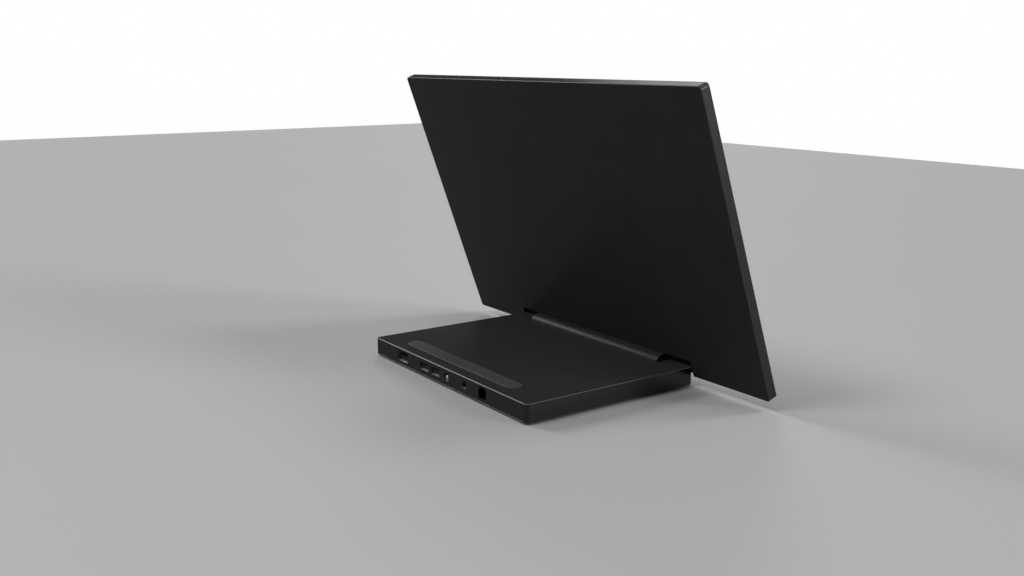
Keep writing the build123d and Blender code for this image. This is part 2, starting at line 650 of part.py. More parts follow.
def upstream_port_housing():
    y0 = FRONT + SOCKET_INSET
    y1 = FRONT + UPSTREAM_DEPTH
    body = along_y(upstream_outline(0), UPSTREAM_X, SOCKET_Z, y0, y1)
    return body - along_y(upstream_mouth(0), UPSTREAM_X, SOCKET_Z, y0 - 1.0, y1 - 3.0)


def upstream_port_tongue():
    half = UPSTREAM_TONGUE_WIDTH / 2
    high = UPSTREAM_TONGUE_HEIGHT / 2
    return block(UPSTREAM_X - half, UPSTREAM_X + half, FRONT + UPSTREAM_TONGUE_DEPTH,
                 FRONT + UPSTREAM_DEPTH - 3.0, SOCKET_Z - high, SOCKET_Z + high)


def battery_cells():
    cells = []
    for side in (-1, 1):
        ends = sorted((side * BATTERY_SPACING / 2, side * BATTERY_OUTER))
        cell = block(*ends, FRONT + BATTERY_FRONT, FRONT + BATTERY_BACK,
                     COVER_TOP, COVER_TOP + BATTERY_HEIGHT)
        cells.append(fillet(cell.edges().filter_by(Axis.Y), 2.0))
    return Compound(children=cells)


def speaker(side):
    x = side * SPEAKER_MID
    half = SPEAKER_WIDTH / 2
    body = block(x - half, x + half, FRONT + SPEAKER_FRONT, FRONT + SPEAKER_BACK,
                 COVER_TOP, COVER_TOP + SPEAKER_HEIGHT)
    body = fillet(body.edges().filter_by(Axis.Z), 1.5)
    mouth = SlotOverall(SPEAKER_BACK - SPEAKER_FRONT - 2 * SPEAKER_RIM, SPEAKER_MOUTH, rotation=90)
    return body - extrude(Pos(x, FRONT + SPEAKER_Y, COVER_TOP - 1.0) * mouth, 2.0)


def knuckle(x0, x1, foot_width):
    """A cheek or clip: a ring around the hinge axis on a stem that stands on the block's foot."""
    foot = COVER_TOP + BLOCK_FOOT
    ring = rod_x(x0, x1, HINGE_Y, HINGE_Z, KNUCKLE_RADIUS)
    ring += block(x0, x1, HINGE_Y - foot_width / 2, HINGE_Y + foot_width / 2, foot, HINGE_Z)
    return ring - rod_x(x0 - 1.0, x1 + 1.0, HINGE_Y, HINGE_Z, SHAFT_RADIUS + SHAFT_GAP)


def hinge_block(side):
    rear = REAR - SIDE_WALL - 0.4
    body = block(CHEEK_START, BLOCK_END, HINGE_Y - BLOCK_FORWARD, rear, COVER_TOP, COVER_TOP + BLOCK_FOOT)
    body += knuckle(CHEEK_START, CHEEK_START + CHEEK_WIDTH, 2 * KNUCKLE_RADIUS)
    body += knuckle(SECOND_CHEEK, BLOCK_END, 2 * KNUCKLE_RADIUS)
    body -= rod_z(BLOCK_SCREW_X, BLOCK_SCREW_Y, COVER_TOP - 1.0, COVER_TOP + BLOCK_FOOT + 1.0,
                  SCREW_RADIUS + SCREW_GAP)
    return on_side(side, body)


def friction_clips(side):
    clips = []
    for i in range(CLIP_COUNT):
        x = CLIP_START + i * CLIP_PITCH
        clips.append(on_side(side, knuckle(x, x + CLIP_WIDTH, 1.6)))
    return Compound(children=clips)


def key_board():
    """The small board behind the keys, with a switch for each key."""
    stem_end = -BASE_WIDTH / 2 + SIDE_WALL + KEY_GAP + KEY_FLANGE + KEY_STEM
    face = stem_end + KEY_TRAVEL + 0.1
    low = COVER_TOP
    high = SOCKET_Z + SWITCH_SIZE / 2 + 0.6
    ys = [FRONT + y for y in KEY_Y.values()]
    board = block(face + SWITCH_DEPTH, face + SWITCH_DEPTH + 1.0, min(ys) - 5.0, max(ys) + 5.0, low, high)
    half = SWITCH_SIZE / 2
    for y in ys:
        board += block(face, face + SWITCH_DEPTH, y - half, y + half, SOCKET_Z - half, SOCKET_Z + half)
    return board


def side_key(key):
    """A key in the left side, with an inner flange and a stem that presses its switch."""
    y = FRONT + KEY_Y[key]
    left = -BASE_WIDTH / 2
    inner = left + SIDE_WALL + KEY_GAP
    cap = along_x(SlotOverall(KEY_LENGTH[key], KEY_HEIGHT), y, SOCKET_Z, left - KEY_PROUD, inner)
    cap = fillet(cap.faces().sort_by(Axis.X)[0].edges(), 0.3)
    lip = 2 * KEY_FLANGE_LIP
    cap += along_x(SlotOverall(KEY_LENGTH[key] + lip, KEY_HEIGHT + lip), y, SOCKET_Z,
                   inner, inner + KEY_FLANGE)
    return cap + rod_x(inner, inner + KEY_FLANGE + KEY_STEM, y, SOCKET_Z, 1.2)


def base_cable():
    """The flat cable from the board under the trough and up into the hinge barrel."""
    angle = math.radians(CABLE_ENTRY_ANGLE)
    inner = BARREL_RADIUS - BARREL_WALL - 1.0
    outer = BARREL_RADIUS + 0.7
    floor = COVER_TOP + CABLE_THICKNESS / 2 + 0.1
    plug = FRONT + PLUG_FROM_FRONT + PLUG_DEPTH / 2
    rise = FRONT + BATTERY_FRONT - 3.5
    points = [
        (plug, BOARD_TOP + PLUG_HEIGHT / 2),
        (rise - 1.0, BOARD_TOP + PLUG_HEIGHT / 2),
        (rise, floor + BATTERY_HEIGHT + 1.0),
        (FRONT + BATTERY_BACK + 1.2, floor + BATTERY_HEIGHT + 1.0),
        (FRONT + BATTERY_BACK + 3.0, floor),
        (HINGE_Y + outer * math.cos(angle) - 0.6, floor),
        (HINGE_Y + inner * math.cos(angle), HINGE_Z + inner * math.sin(angle)),
    ]
    return band(points, CABLE_THICKNESS, CABLE_START, CABLE_END)


def display_slab(inset, corner, z0, z1):
    """A plate of the display's outline, drawn in all round by inset."""
    return slab(DISPLAY_WIDTH - 2 * inset, DISPLAY_HEIGHT - 2 * inset, corner, DISPLAY_MID, z0, z1)


def arm_slots():
    """Ways for the hinge arms and the cable from the barrel into the display."""
    cable = (CABLE_START - 1.0, CABLE_END + 1.0)
    slots = []
    for x0, x1 in ((ARM_HUB_START, ARM_HUB_START + ARM_HUB_LENGTH),
                   (-ARM_HUB_START - ARM_HUB_LENGTH, -ARM_HUB_START), cable):
        slots.append(block(x0 - ARM_SLOT_GAP, x1 + ARM_SLOT_GAP, RECESS_TOP - RECESS_WALL - 0.5, 0.0,
                           INNER_BACK - ARM_SLOT_GAP / 2, INNER_BACK + ARM_THICKNESS + ARM_SLOT_GAP / 2))
    return slots


def display_back_cover():
    cover = display_slab(0, DISPLAY_CORNER, BACK_FACE, FRAME_BACK)
    cover = chamfer(cover.faces().sort_by(Axis.Z)[0].edges(), BACK_CHAMFER)
    cover = chamfer(cover.faces().sort_by(Axis.Z)[-1].edges(), SEAM_CHAMFER)
    cover -= display_slab(RIM_WALL, DISPLAY_CORNER - RIM_WALL, TRAY_BACK, FRAME_BACK)
    ledge = RIM_WALL + LEDGE_WIDTH
    cover -= display_slab(ledge, 2.0, INNER_BACK, TRAY_BACK)
    wall_top = RECESS_TOP - RECESS_WALL
    cover += block(-RECESS_END - RECESS_WALL, RECESS_END + RECESS_WALL, wall_top, LOW_EDGE - RIM_WALL,
                   INNER_BACK - 0.5, RECESS_BACKING)
    cover -= block(-RECESS_END, RECESS_END, RECESS_TOP, LOW_EDGE + 1.0, BACK_FACE - 1.0, RECESS_FLOOR)
    for slot in arm_slots():
        cover -= slot
    top_inside = HIGH_EDGE + ledge
    inner_ribs = [(i * RIB_PITCH, -ARM_REACH - RIB_GAP) for i in (-1, 0, 1)]
    outer_ribs = [(side * (OUTER_RIB + off * OUTER_RIB_PITCH / 2), wall_top - RIB_GAP)
                  for side in (-1, 1) for off in (-1, 1)]
    for x, low in inner_ribs + outer_ribs:
        cover += block(x - RIB_WIDTH / 2, x + RIB_WIDTH / 2, top_inside - 0.5, low,
                       INNER_BACK - 0.5, TRAY_BACK)
    for side in (-1, 1):
        for x, s in ARM_SCREWS:
            cover -= rod_z(side * (ARM_MID + x), -s, BACK_FACE + 0.3, INNER_BACK + 0.5,
                           SCREW_RADIUS + SCREW_GAP)
    return on_display(cover)


def display_front_frame():
    frame = display_slab(0, DISPLAY_CORNER, FRAME_BACK, FRONT_FACE)
    frame = chamfer(frame.faces().sort_by(Axis.Z)[-1].edges(), FRONT_CHAMFER)
    frame = chamfer(frame.faces().sort_by(Axis.Z)[0].edges(), SEAM_CHAMFER)
    frame -= display_slab(FRAME_RIM, DISPLAY_CORNER - FRAME_RIM, CELL_FRONT, FRONT_FACE + 1.0)
    frame -= display_slab(opening_inset(), 1.5, FRAME_BACK - 1.0, FRONT_FACE)
    return on_display(frame)


def opening_inset():
    """How far in from the display's edge the frame's opening round the panel lies."""
    return RIM_WALL + 0.8


def panel_slab(margin, z0, z1, low_trim=0.0):
    """A plate centred on the picture, larger than it by margin all round."""
    half_x = ACTIVE_WIDTH / 2 + margin
    half_y = ACTIVE_HEIGHT / 2 + margin
    return block(-half_x, half_x, DISPLAY_MID - half_y, DISPLAY_MID + half_y - low_trim, z0, z1)


def cover_glass():
    inset = FRAME_RIM + 0.1
    return on_display(display_slab(inset, DISPLAY_CORNER - inset, GLASS_BACK, GLASS_FRONT))


def glass_tape():
    inset = FRAME_RIM + 0.1
    ring = display_slab(inset, DISPLAY_CORNER - inset, CELL_FRONT, GLASS_BACK)
    return on_display(ring - panel_slab(0.3, CELL_FRONT - 1.0, GLASS_BACK + 1.0))


def lcd_cell():
    return on_display(panel_slab(CELL_MARGIN, CELL_BACK, CELL_FRONT))


def diffuser_sheet():
    return on_display(panel_slab(CELL_MARGIN - TRAY_WALL - SHEET_GAP, GUIDE_FRONT, CELL_BACK))


def light_guide():
    inner = CELL_MARGIN - TRAY_WALL - SHEET_GAP
    return on_display(panel_slab(inner, GUIDE_BACK, GUIDE_FRONT, low_trim=LED_BAR + SHEET_GAP))


def reflector_sheet():
    return on_display(panel_slab(CELL_MARGIN - TRAY_WALL - SHEET_GAP, REFLECTOR_BACK, GUIDE_BACK))


def led_strip():
    inner = CELL_MARGIN - TRAY_WALL - SHEET_GAP
    low = DISPLAY_MID + ACTIVE_HEIGHT / 2 + inner
    half = ACTIVE_WIDTH / 2 - 4.0
    return on_display(block(-half, half, low - LED_BAR, low, GUIDE_BACK, GUIDE_FRONT))


def panel_tray():
    tray = panel_slab(CELL_MARGIN, TRAY_BACK, CELL_BACK)
    return on_display(tray - panel_slab(CELL_MARGIN - TRAY_WALL, REFLECTOR_BACK, CELL_BACK + 1.0))


def tcon_board():
    return on_display(block(-TCON_WIDTH / 2, TCON_WIDTH / 2, -TCON_FROM_AXIS - TCON_HEIGHT,
                            -TCON_FROM_AXIS, TRAY_BACK - TCON_THICKNESS, TRAY_BACK))


def tcon_chips():
    """The panel board's chip, its driver and the cable's plug."""
    z1 = TRAY_BACK - TCON_THICKNESS
    mid = -TCON_FROM_AXIS - TCON_HEIGHT / 2
    plug = CABLE_WIDTH + 2 * PLUG_SIDE
    sizes = [(TCON_CHIP_X, TCON_CHIP_WIDTH, TCON_CHIP_DEPTH, TCON_CHIP_HEIGHT, mid),
             (DRIVER_X, DRIVER_WIDTH, DRIVER_DEPTH, TCON_CHIP_HEIGHT, mid),
             (CABLE_X, plug, PLUG_DEPTH, TCON_PLUG_HEIGHT, tcon_plug())]
    chips = [block(x - width / 2, x + width / 2, y - depth / 2, y + depth / 2, z1 - height, z1)
             for x, width, depth, height, y in sizes]
    return on_display(Compound(children=chips))


def tcon_plug():
    """Middle of the cable's plug on the panel's board."""
    return -TCON_FROM_AXIS - TCON_HEIGHT / 2 + PLUG_DEPTH / 4


def display_cable():
    """The flat cable's service loop round the hinge axis and its run to the panel's board."""
    loop = [(LOOP_RADIUS * math.cos(math.radians(a)), LOOP_RADIUS * math.sin(math.radians(a)))
            for a in range(-60, 106, 15)]
    level = INNER_BACK + ARM_THICKNESS / 2
    plug = tcon_plug() + PLUG_DEPTH * 0.75
    run = [(-3.2, level - 0.8), (-4.6, level), (plug + 1.2, level),
           (plug, TRAY_BACK - TCON_THICKNESS - 0.5)]
    return on_display(band(loop + run, CABLE_THICKNESS, CABLE_START, CABLE_END))


def hinge_barrel_cover():
    barrel = rod_x(-BARREL_END, BARREL_END, 0, 0, BARREL_RADIUS)
    barrel += block(-BARREL_END, BARREL_END, RECESS_TOP, LOW_EDGE, BACK_FACE, RECESS_FLOOR)
    barrel -= rod_x(-BARREL_END + BARREL_WALL, BARREL_END - BARREL_WALL, 0, 0, BARREL_RADIUS - BARREL_WALL)
    for side in (-1, 1):
        ends = sorted((side * (BARREL_END - 2 * BARREL_WALL), side * (BARREL_END + 1.0)))
        barrel -= rod_x(*ends, 0, 0, SHAFT_RADIUS + SHAFT_GAP)
    for slot in arm_slots():
        barrel -= slot
    reach = BARREL_RADIUS + 1.0
    barrel -= block(CABLE_START - 1.0, CABLE_END + 1.0, -0.43 * BARREL_RADIUS, reach, -reach, -0.7)
    return on_display(barrel)


def hinge_arm(side):
    x0 = ARM_HUB_START
    x1 = ARM_HUB_START + ARM_HUB_LENGTH
    top = INNER_BACK + ARM_THICKNESS
    arm = rod_x(x0, x1, 0, 0, ARM_HUB_RADIUS)
    arm += block(x0, x1, -3.4, -1.0, 0.0, INNER_BACK + 0.1)
    arm += block(x0, x1, RECESS_TOP - RECESS_WALL - 2.0, -1.0, INNER_BACK, top)
    foot = ARM_FOOT_WIDTH / 2
    arm += block(ARM_MID - foot, ARM_MID + foot, -ARM_REACH, RECESS_TOP - RECESS_WALL - 0.6, INNER_BACK, top)
    arm -= rod_x(x0 - 1.0, x1 + 1.0, 0, 0, SHAFT_RADIUS)
    for x, s in ARM_SCREWS:
        arm -= rod_z(ARM_MID + x, -s, INNER_BACK - 1.0, top + 1.0, SCREW_RADIUS + 0.2)
    return on_display(on_side(side, arm))


def hinge_shaft(side):
    shaft = rod_x(BARREL_END - SHAFT_INSIDE, SHAFT_END, 0, 0, SHAFT_RADIUS)
    return on_display(on_side(side, shaft))


def hinge_screws():
    z_head = INNER_BACK + ARM_THICKNESS + SCREW_HEAD_HEIGHT
    length = ARM_THICKNESS + BACK_WALL - 0.4
    screws = []
    for side in (-1, 1):
        for x, s in ARM_SCREWS:
            screws.append(screw(side * (ARM_MID + x), -s, z_head, length, -1))
    return on_display(Compound(children=screws))


NODES = {
    "base_top_shell": base_top_shell(),
    "base_bottom_cover": base_bottom_cover(),
    "base_feet": base_feet(),
    "bottom_cover_screws": bottom_cover_screws(),
    "front_rest_pad": front_rest_pad(),
    "main_board": main_board(),
    "board_screws": board_screws(),
    "board_chips": board_chips(),
    "thermal_pad": thermal_pad(),
    "heat_spreader": heat_spreader(),
    "video_port_shell": video_port_shell(),
    "video_port_tongue": video_port_tongue(),
    "usb_port_shells": Compound(children=[usb_shell(x) for x in USB_X]),
    "usb_port_tongues": Compound(children=[usb_tongue(x) for x in USB_X]),
    "dc_jack_housing": dc_jack_housing(),
    "dc_jack_pin": dc_jack_pin(),
    "audio_jack_housing": audio_jack_housing(),
    "audio_jack_ring": audio_jack_ring(),
    "upstream_port_housing": upstream_port_housing(),
    "upstream_port_tongue": upstream_port_tongue(),
    "battery_cells": battery_cells(),
    "key_board": key_board(),
    "power_key": side_key("power_key"),
    "menu_key": side_key("menu_key"),
    "base_cable": base_cable(),
    "display_back_cover": display_back_cover(),
    "display_front_frame": display_front_frame(),
    "cover_glass": cover_glass(),
    "glass_tape": glass_tape(),
    "lcd_cell": lcd_cell(),
    "diffuser_sheet": diffuser_sheet(),
    "light_guide": light_guide(),
    "reflector_sheet": reflector_sheet(),
    "led_strip": led_strip(),
    "panel_tray": panel_tray(),
    "tcon_board": tcon_board(),
    "tcon_chips": tcon_chips(),
    "display_cable": display_cable(),
    "hinge_barrel_cover": hinge_barrel_cover(),
    "hinge_screws": hinge_screws(),
}
for side, word in ((-1, "left"), (1, "right")):
    NODES[f"speaker_{word}"] = speaker(side)
    NODES[f"hinge_block_{word}"] = hinge_block(side)
    NODES[f"friction_clips_{word}"] = friction_clips(side)
    NODES[f"hinge_arm_{word}"] = hinge_arm(side)
    NODES[f"hinge_shaft_{word}"] = hinge_shaft(side)

os.makedirs("parts", exist_ok=True)
for name, shape in NODES.items():
    export_step(shape, f"parts/{name}.step")
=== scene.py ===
import bpy
import bmesh
import json
import math
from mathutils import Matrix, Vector


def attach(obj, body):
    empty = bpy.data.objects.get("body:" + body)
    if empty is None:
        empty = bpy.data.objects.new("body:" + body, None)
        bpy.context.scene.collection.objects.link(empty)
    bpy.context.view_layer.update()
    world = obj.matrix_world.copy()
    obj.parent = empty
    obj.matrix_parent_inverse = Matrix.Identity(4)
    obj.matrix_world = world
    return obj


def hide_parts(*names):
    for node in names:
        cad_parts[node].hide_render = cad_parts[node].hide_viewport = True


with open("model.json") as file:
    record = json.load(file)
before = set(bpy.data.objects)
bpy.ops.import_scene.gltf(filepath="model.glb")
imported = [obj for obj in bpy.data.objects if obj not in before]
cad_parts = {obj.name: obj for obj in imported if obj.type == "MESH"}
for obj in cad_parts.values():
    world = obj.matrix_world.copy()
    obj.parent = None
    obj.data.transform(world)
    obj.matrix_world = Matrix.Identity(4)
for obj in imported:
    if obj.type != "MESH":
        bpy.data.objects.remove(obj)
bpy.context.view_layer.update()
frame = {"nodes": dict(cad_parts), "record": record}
NODES = frame["nodes"]
MM = 0.001

# Sizes repeated from the CAD source, in millimetres and degrees. FRONT is where the sockets' face lies in Y
FRONT = -79.3637
DISPLAY_LEAN = 20.0
SOCKET_Z = 8.4
VIDEO_X, VIDEO_TONGUE_UNDER, VIDEO_TONGUE_TOP = -60.2, -1.8, 0.7
USB_X, USB_TONGUE_UNDER, USB_SHELL_INSIDE = (-28.0, -12.0), -0.6, 2.9
DC_X, DC_BORE = 4.2, 3.2
AUDIO_X, AUDIO_SLEEVE_INSIDE = 27.9, 2.95
UPSTREAM_X, UPSTREAM_TONGUE_HALF = 51.5, 1.6
FOOT_HEIGHT = 1.0
SCREW_HEAD, SCREW_HEAD_HEIGHT, SCREW_RADIUS = 1.9, 0.6, 0.8

# The bottom cover's screws: X, distance behind the face and shank. The last two go into the hinge blocks
COVER_SCREWS = ((-96.0, 10.0, 6.0), (96.0, 10.0, 6.0), (-96.0, 124.0, 6.0), (96.0, 124.0, 6.0),
                (0.0, 64.5, 6.0), (-91.5, 133.1, 2.4), (91.5, 133.1, 2.4))

# Small metal strips, in millimetres. A span says how far behind the face a strip starts and ends, an arch how
# far its middle stands out, and a strip is a width and a thickness
VIDEO_SPAN, VIDEO_ARCH, VIDEO_STRIP = (2.1, 8.1), 0.12, (0.42, 0.1)
VIDEO_PITCH, VIDEO_TOP_COUNT, VIDEO_UNDER_COUNT = 1.0, 10, 9
UPSTREAM_SPAN, UPSTREAM_ARCH, UPSTREAM_STRIP, UPSTREAM_SIDE = (5.8, 12.5), 0.25, (0.9, 0.14), 1.25
SPRING_SPAN, SPRING_ARCH, SPRING_STRIP, SPRING_SIDE = (3.6, 9.6), 0.45, (2.0, 0.12), 3.1
ARCH_STEPS = 8

# A USB contact: its place across the tongue and its start behind the face, its bow as steps in Y and Z from
# there, and where all of them end
USB_STARTS = ((-3.5, 2.4), (-1.0, 3.2), (1.0, 3.2), (3.5, 2.4))
USB_BOW = ((0.0, 0.0), (0.8, -0.36), (1.6, -0.4), (2.6, -0.13))
USB_END, USB_STRIP = 10.0, (1.0, 0.12)

# Curved strips: thickness and gap to the bore in millimetres, angles from the bottom of the bore in degrees,
# and stations, each a depth behind the face and how far the strip stands in there
STRIP_THICKNESS = 0.18
CRADLE_GAP, CRADLE_ANGLES = 0.04, range(-40, 41, 10)
CRADLE_STATIONS = ((0.75, 0.0), (1.2, 0.06), (3.5, 0.1), (6.0, 0.3))
# The audio socket's dark liner, a sheet for painted shade over the top and sides of its bore: gap, angles,
# stations
SHADE_LINER_GAP, SHADE_LINER_ANGLES = 0.03, range(45, 316, 15)
SHADE_LINER_STATIONS = ((0.75, 0.0), (1.5, 0.0), (3.8, 0.0))

# A cross recess: the angles of one arm's points, the arm's half width and reach, and its levels, each the
# share of the full cross and the depth. Then the head's outline as radius and height, and how deep it is sunk
CROSS_ANGLES = (-45.0, -33.0, -23.0, -14.9, -7.0, 0.0, 7.0, 14.9, 23.0, 33.0)
CROSS_HALF_WIDTH, CROSS_REACH, LEAST_SINE = 0.28, 1.05, 0.001
CROSS_LEVELS = ((0.35, 0.55), (0.8, 0.4), (1.0, 0.0))
HEAD_PROFILE = ((SCREW_HEAD - 0.2, 0.0), (SCREW_HEAD - 0.05, 0.08), (SCREW_HEAD, 0.2),
                (SCREW_HEAD, SCREW_HEAD_HEIGHT), (SCREW_RADIUS, SCREW_HEAD_HEIGHT))
HEAD_SINK = 0.1

# A case's cut edges and flat sides: its lean in degrees, the colours of both, and whether its standing
# corners have the edges' colour. The edges' lighter colour is a painted highlight along the chamfers, and the
# sides' colour, fully metallic, is a painted sheen that makes the flat sides reflect more and look lighter.
# Then how metallic the edges look, and how rough edges and sides are
BASE_CUT = {"lean": 0.0, "edge": 0.12, "sheen_flank": 0.046, "upright": 0.0}
DISPLAY_CUT = {"lean": DISPLAY_LEAN, "edge": 0.075, "sheen_flank": 0.052, "upright": 1.0}
EDGE_METAL = 0.07
CUT_ROUGH = 0.25

# Where the masks start and end: a flat side by its turn to the side, a cut edge by its largest turn to any
# face, a standing corner by its turn to the top, and a worn edge by how well its bevelled normal agrees with
# the true one
FLANK_TURN = (0.96, 0.98)
EDGE_TURN = (0.93, 0.96)
STANDING_TURN = (0.2, 0.4)
WORN_TURN = (0.995, 0.90)
BEVEL_SAMPLES = 4

# Noise: how a seed moves it along each axis, and the seeds of the grain and the scuffs beside the surface's
# own. Then the part of its range that counts, for patches and for the scuffs on worn edges
SEED_STEP = (1.0, 0.7, 1.3)
GRAIN_SEED, SCUFF_SEED = 3.1, 9.0
CLOUD_RANGE = (0.3, 0.7)
SCUFF_SIZE, SCUFF_RANGE, SCUFF_LEAST = 0.004, (0.35, 0.65), 0.25
GRAIN_BUMP = 0.5

# Every plain surface, with the settings of surface(). Sizes are in metres
CASE = dict(rough=0.24, patch=0.03, patch_rough=0.03, patch_colour=0.05, grain=0.00035, depth=0.000006)
SURFACES = {
    "case_black": dict(CASE, colour=0.027, cut=BASE_CUT, Specular_IOR_Level=0.01),
    # The display's case black: a darker copy with more specular, painted shade on the display and a painted
    # highlight
    "display_case_black_shaded_copy": dict(CASE, colour=0.0245, cut=DISPLAY_CUT, Specular_IOR_Level=0.02),
    "cover_black": dict(colour=0.014, rough=0.42, patch=0.02, grain=0.0002, worn=0.045, seed=2.0,
                        Specular_IOR_Level=0.4),
    "pad_rubber": dict(colour=0.038, rough=0.72, patch=0.012, patch_colour=0.08, grain=0.0005, depth=0.00003,
                       worn=0.06, seed=4.0, Specular_IOR_Level=0.3),
    "barrel_satin": dict(colour=0.02, rough=0.32, patch=0.015, grain=0.0004, seed=5.0,
                         Specular_IOR_Level=0.04),
    "foot_rubber": dict(colour=0.028, rough=0.8, patch=0.004, patch_colour=0.2, grain=0.0006, depth=0.00005,
                        worn=0.05, seed=6.0),
    # The socket metal's flat left and right walls take a darker colour, painted shade inside the mouths
    "socket_metal": dict(colour=(0.7, 0.7, 0.69), rough=0.42, patch=0.004, patch_rough=0.06, grain=0.00008,
                         depth=0.000004, stretch=(1.0, 0.08, 1.0), seed=7.0, sides=0.1, Metallic=0.6),
    "socket_plastic": dict(colour=0.006, rough=0.42, patch=0.003, grain=0.00015, depth=0.000006, seed=8.0,
                           Specular_IOR_Level=0.1),
    "steel_part": dict(colour=(0.5, 0.5, 0.51), rough=0.34, patch=0.006, patch_rough=0.1, grain=0.0001,
                       depth=0.000008, stretch=(0.06, 1.0, 1.0), seed=9.0, Metallic=1.0),
    "screw_black": dict(colour=0.05, rough=0.36, patch=0.002, patch_colour=0.3, grain=0.0002, worn=0.25,
                        worn_width=0.00015, seed=10.0, Metallic=1.0),
    "chip_black": dict(colour=0.02, rough=0.6, patch=0.003, grain=0.0001, depth=0.000008, seed=11.0),
    "thermal_grey": dict(colour=(0.34, 0.36, 0.38), rough=0.8, patch=0.002, grain=0.0003, depth=0.00003,
                         seed=12.0),
    "alloy_sheet": dict(colour=(0.7, 0.7, 0.71), rough=0.38, patch=0.02, patch_rough=0.08, grain=0.00012,
                        depth=0.000006, stretch=(0.05, 1.0, 1.0), seed=13.0, Metallic=1.0),
    "cell_foil": dict(colour=(0.52, 0.53, 0.55), rough=0.42, patch=0.008, patch_rough=0.12, grain=0.002,
                      depth=0.00012, seed=14.0, Metallic=1.0),
    "speaker_black": dict(colour=0.02, rough=0.6, patch=0.004, grain=0.0003, depth=0.00002, seed=15.0),
    "tape_black": dict(colour=0.008, rough=0.75, patch=0.01, grain=0.0003, seed=16.0),
    "sheet_white": dict(colour=0.82, rough=0.55, patch=0.05, patch_colour=0.02, grain=0.0003, depth=0.000005,
                        seed=17.0),
    "contact_gold": dict(colour=(0.78, 0.55, 0.24), rough=0.24, patch=0.001, patch_rough=0.05, grain=0.00005,
                         depth=0.000002, seed=18.0, Metallic=1.0),
}

# Patterned surfaces: repeats per metre, the range of the pattern where it turns from one look to the other,
# both looks, both roughnesses, and the strength and depth of the bump
TRACK_CELLS, POUR_CELLS, PAD_CELLS = 420.0, 130.0, 260.0
TRACK_RANGE, POUR_RANGE, PAD_RANGE = (0.05, 0.09), (0.33, 0.36), (0.13, 0.15)
MASK_DARK, MASK_LIGHT, MASK_TRACK = (0.012, 0.075, 0.035), (0.018, 0.11, 0.05), (0.03, 0.17, 0.075)
PAD_METAL = (0.55, 0.5, 0.4)
BOARD_ROUGH, BOARD_BUMP = (0.32, 0.25), (0.6, 0.00004)
CONDUCTORS, CONDUCTOR_RANGE = 480.0, (0.55, 0.75)
FILM_DARK, FILM_LIGHT, FILM_ROUGH, FILM_BUMP = 0.018, 0.05, 0.38, (0.5, 0.00003)
LED_HALF_PITCH, LED_HALF_WINDOW = 0.0075, (0.0016, 0.0019)
LED_STRIP, LED_PHOSPHOR, LED_ROUGH = (0.78, 0.78, 0.75), (0.85, 0.68, 0.16), (0.5, 0.25)
PRINT_DOTS, PRINT_RANGE = 900.0, (0.2, 0.26)
ACRYLIC, PRINT_WHITE, PRINT_ROUGH = (0.88, 0.91, 0.92), (0.97, 0.97, 0.97), (0.06, 0.5)
ACRYLIC_CLEAR, ACRYLIC_IOR = 0.9, 1.49

# Screen: the glass's colour, the light that it lets through to the panel, its smears, and the panel behind it
GLASS_TINT, GLASS_SHADOW, GLASS_IOR = (0.62, 0.63, 0.64), (0.6, 0.61, 0.62), 1.5
SMEAR_SIZE, SMEAR_STRETCH, SMEAR_RANGE, SMEAR_ROUGH = 0.05, (1.0, 2.5, 1.0), (0.3, 0.75), (0.055, 0.075)
PANEL_DARK, PANEL_LIGHT, PANEL_PATCH, PANEL_ROUGH = (0.010, 0.011, 0.014), (0.016, 0.017, 0.021), 0.12, 0.24

# Camera, solved from the straight edges in the photograph
CAMERA_AT = (0.6331, -0.4631, 0.2366)
CAMERA_YAW = 54.875
CAMERA_DOWN = 12.394
CAMERA_LENS = 36.93
CAMERA_NEAR = 0.01
SENSOR = 36.0

# Floor outline: its far corner and its two far edges lie where the photograph has them
FLOOR_CORNER = (-2.74, 1.75)
FLOOR_SIZE = (8.0, 7.0)
FLOOR_GREY, FLOOR_UNEVEN, FLOOR_PATCH = 0.42, 0.02, 0.5
FLOOR_ROUGH, FLOOR_SPECULAR = 0.6, 0.2

# Studio: the backdrop fades between two heights of a unit direction. A lamp is far off and wide, so it is a
# soft sun: its name, the direction that it stands in and what it sends to a surface that faces it, in W/m2
BACKDROP_FADE = (0.06, 0.17)
BACKDROP_ABOVE = 0.07
ROOM_LIGHT = 0.2
LAMP_ANGLE = 0.3
LAMPS = (("key_left", (-0.82, -0.29, 0.5), 1.3),
         ("front", (-0.15, -0.65, 0.75), 1.0),
         ("right", (0.8, 0.5, 0.3), 1.1),
         ("overhead", (0.1, -0.1, 1.0), 0.3),
         ("rear_right", (0.31, 0.61, 0.73), 0.6),
         ("rear_left", (-0.66, 0.52, 0.55), 0.38))


def add(tree, kind, sockets=None, **settings):
    """One shader node. sockets gives each input a value or a link."""
    node = tree.nodes.new("ShaderNode" + kind)
    for key, value in settings.items():
        setattr(node, key, value)
    for key, value in (sockets or {}).items():
        if isinstance(value, bpy.types.NodeSocket):
            tree.links.new(value, node.inputs[key])
        else:
            node.inputs[key].default_value = value
    return node


def calculate(tree, operation, *values):
    """The result of a math node."""
    return add(tree, "Math", dict(enumerate(values)), operation=operation).outputs[0]


def rgba(grey_or_rgb):
    """A grey or a colour as the four numbers of a socket."""
    if isinstance(grey_or_rgb, (int, float)):
        return (grey_or_rgb, grey_or_rgb, grey_or_rgb, 1.0)
    return (*grey_or_rgb, 1.0)


def material(name):
    """An empty material and its tree, with the object's own coordinates in metres."""
    mat = bpy.data.materials.new(name)
    mat.use_nodes = True
    tree = mat.node_tree
    tree.nodes.clear()
    place = add(tree, "TexCoord").outputs["Object"]
    return mat, tree, place


